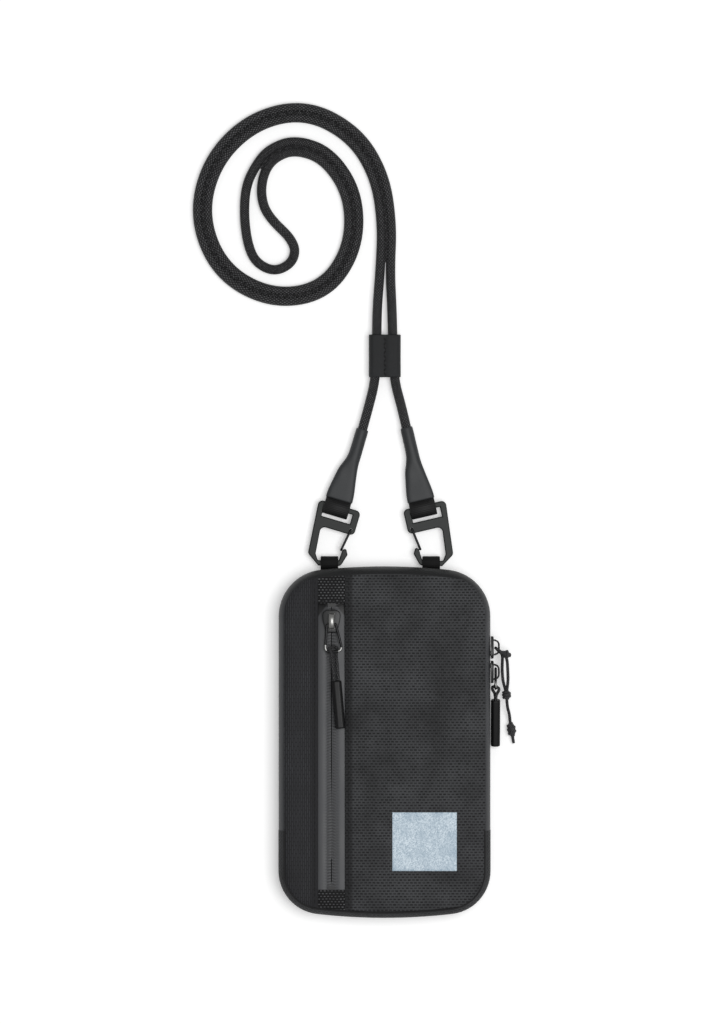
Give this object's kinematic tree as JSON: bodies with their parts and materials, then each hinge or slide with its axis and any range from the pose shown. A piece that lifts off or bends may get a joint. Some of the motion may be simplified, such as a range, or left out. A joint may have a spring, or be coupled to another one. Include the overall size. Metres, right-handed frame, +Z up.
{
  "type": "phone pouch",
  "caption": "Flat zipped phone pouch with a front zip pocket, hooked to a doubled round neck cord by wire-gate hooks, sleeves and a sliding keeper.",
  "frame": {"origin": "centre of the back face that the pouch lies on", "axes": "+X to the right seen from the front, +Y towards the neck cord, +Z up out of the front"},
  "size_m": [0.1797, 0.4516, 0.0278],
  "materials": {
    "coarse_fabric": "coarse ballistic weave",
    "fine_fabric": "fine weave",
    "mesh_fabric": "mesh weave",
    "zip_tape": "smooth coated tape",
    "zip_coil": "nylon coil",
    "foam": "closed-cell foam",
    "lining": "plain lining",
    "webbing": "ribbed webbing",
    "patch": "pale reflective patch",
    "slider_metal": "black enamel",
    "ring_metal": "black enamel, worn at the corners",
    "thin_cord": "thin braid",
    "grip": "glossy moulding",
    "hook_metal": "satin",
    "gate_wire": "dull wire",
    "sleeve": "matt",
    "braided_cord": "fine round braid",
    "keeper_band": "matt band, stitched down the middle"
  },
  "bodies": {
    "back_shell": {"back_panel": "coarse_fabric", "back_padding": "foam", "back_lining": "lining", "main_zip_tape_back": "zip_tape", "main_zip_coil_back": "zip_coil", "bottom_gusset": "fine_fabric", "left_tab": "webbing", "right_tab": "webbing"},
    "front_shell": {"front_main_panel": "coarse_fabric", "front_side_panel": "fine_fabric", "zip_top_patch": "mesh_fabric", "zip_bottom_patch": "mesh_fabric", "label_patch": "patch", "front_zip_tape_left": "zip_tape", "front_zip_tape_right": "zip_tape", "front_zip_coil_left": "zip_coil", "front_zip_coil_right": "zip_coil", "front_zip_stops": "slider_metal", "pocket_lining": "lining", "front_padding": "foam", "front_lining": "lining", "main_zip_tape_front": "zip_tape", "main_zip_coil_front": "zip_coil"},
    "front_zip_slider": {"front_slider": "slider_metal"},
    "front_ring": {"front_pull_ring": "ring_metal"},
    "front_pull": {"front_pull_cord": "thin_cord", "front_pull_grip": "grip"},
    "upper_zip_slider": {"upper_slider": "slider_metal"},
    "upper_pull": {"upper_pull_cord": "thin_cord", "upper_pull_knot": "thin_cord", "upper_pull_tail": "thin_cord", "upper_pull_end_knot": "thin_cord"},
    "lower_zip_slider": {"lower_slider": "slider_metal"},
    "lower_pull": {"lower_pull_ring": "ring_metal", "lower_pull_cord": "thin_cord", "lower_pull_grip": "grip"},
    "left_hook_body": {"left_hook": "hook_metal"},
    "left_gate_body": {"left_gate": "gate_wire"},
    "left_strap_body": {"left_strap": "webbing", "left_sleeve": "sleeve"},
    "right_hook_body": {"right_hook": "hook_metal"},
    "right_gate_body": {"right_gate": "gate_wire"},
    "right_strap_body": {"right_strap": "webbing", "right_sleeve": "sleeve"},
    "cord_body": {"neck_cord": "braided_cord"},
    "keeper_body": {"cord_keeper": "keeper_band"}
  },
  "joints": [
    {"name": "front_open", "type": "hinge", "parent": "back_shell", "child": "front_shell", "pos_m": [0, -0.0965, 0.011], "axis": [1, 0, 0], "range_deg": [0, 14], "deforming": ["bottom_gusset"]},
    {"name": "front_slide", "type": "slide", "parent": "front_shell", "child": "front_zip_slider", "axis": [0, -1, 0], "range_m": [0, 0.138]},
    {"name": "front_ring_lift", "type": "hinge", "parent": "front_zip_slider", "child": "front_ring", "pos_m": [-0.0294, 0.0655, 0.02465], "axis": [-0.9962, -0.0872, 0], "range_deg": [0, 110]},
    {"name": "front_pull_swing", "type": "hinge", "parent": "front_ring", "child": "front_pull", "pos_m": [-0.02808, 0.05036, 0.02507], "axis": [-0.9962, -0.0872, 0], "range_deg": [0, 60]},
    {"name": "upper_slide", "type": "slide", "parent": "back_shell", "child": "upper_zip_slider", "axis": [0, 1, 0], "range_m": [0, 0.01]},
    {"name": "upper_pull_swing", "type": "hinge", "parent": "upper_zip_slider", "child": "upper_pull", "pos_m": [0.0617, 0.0522, 0.011], "axis": [0, 0, 1], "range_deg": [0, 80]},
    {"name": "lower_slide", "type": "slide", "parent": "back_shell", "child": "lower_zip_slider", "axis": [0, -1, 0], "range_m": [0, 0.078]},
    {"name": "lower_pull_swing", "type": "hinge", "parent": "lower_zip_slider", "child": "lower_pull", "pos_m": [0.0617, 0.0408, 0.011], "axis": [0, 0, 1], "range_deg": [0, 40]},
    {"name": "hook_lift_left", "type": "hinge", "parent": "back_shell", "child": "left_hook_body", "pos_m": [-0.0306, 0.0992, 0.0046], "axis": [1, 0, 0], "range_deg": [0, 16]},
    {"name": "hook_lift_right", "type": "hinge", "parent": "back_shell", "child": "right_hook_body", "pos_m": [0.026, 0.0992, 0.0046], "axis": [1, 0, 0], "range_deg": [0, 16]},
    {"name": "left_gate_swing", "type": "hinge", "parent": "left_hook_body", "child": "left_gate_body", "pos_m": [-0.01863, 0.11777, 0.0046], "axis": [0, 0, -1], "range_deg": [0, 27], "stiffness_Nm_per_rad": 0.02},
    {"name": "strap_fold_left", "type": "hinge", "parent": "left_hook_body", "child": "left_strap_body", "pos_m": [-0.02518, 0.12982, 0.0046], "axis": [1, 0, 0], "range_deg": [-28, 0]},
    {"name": "right_gate_swing", "type": "hinge", "parent": "right_hook_body", "child": "right_gate_body", "pos_m": [0.01519, 0.11846, 0.0046], "axis": [0, 0, 1], "range_deg": [0, 27], "stiffness_Nm_per_rad": 0.02},
    {"name": "strap_fold_right", "type": "hinge", "parent": "right_hook_body", "child": "right_strap_body", "pos_m": [0.02246, 0.13009, 0.0046], "axis": [1, 0, 0], "range_deg": [-28, 0]},
    {"name": "cord_lay", "type": "hinge", "parent": "left_strap_body", "child": "cord_body", "pos_m": [-0.01226, 0.17345, 0.0046], "axis": [1, 0, 0], "range_deg": [0, 12]},
    {"name": "keeper_slide", "type": "slide", "parent": "cord_body", "child": "keeper_body", "axis": [0, 1, 0], "range_m": [0, 0.012]}
  ],
  "couplings": [
    {"joint": "hook_lift_right", "follows": "hook_lift_left", "ratio": 1},
    {"joint": "strap_fold_left", "follows": "hook_lift_left", "ratio": -1.7019},
    {"joint": "strap_fold_right", "follows": "hook_lift_left", "ratio": -1.6969},
    {"joint": "cord_lay", "follows": "hook_lift_left", "ratio": 0.7019},
    {"joint": "lower_pull_swing", "follows": "upper_pull_swing", "ratio": 0.5}
  ]
}
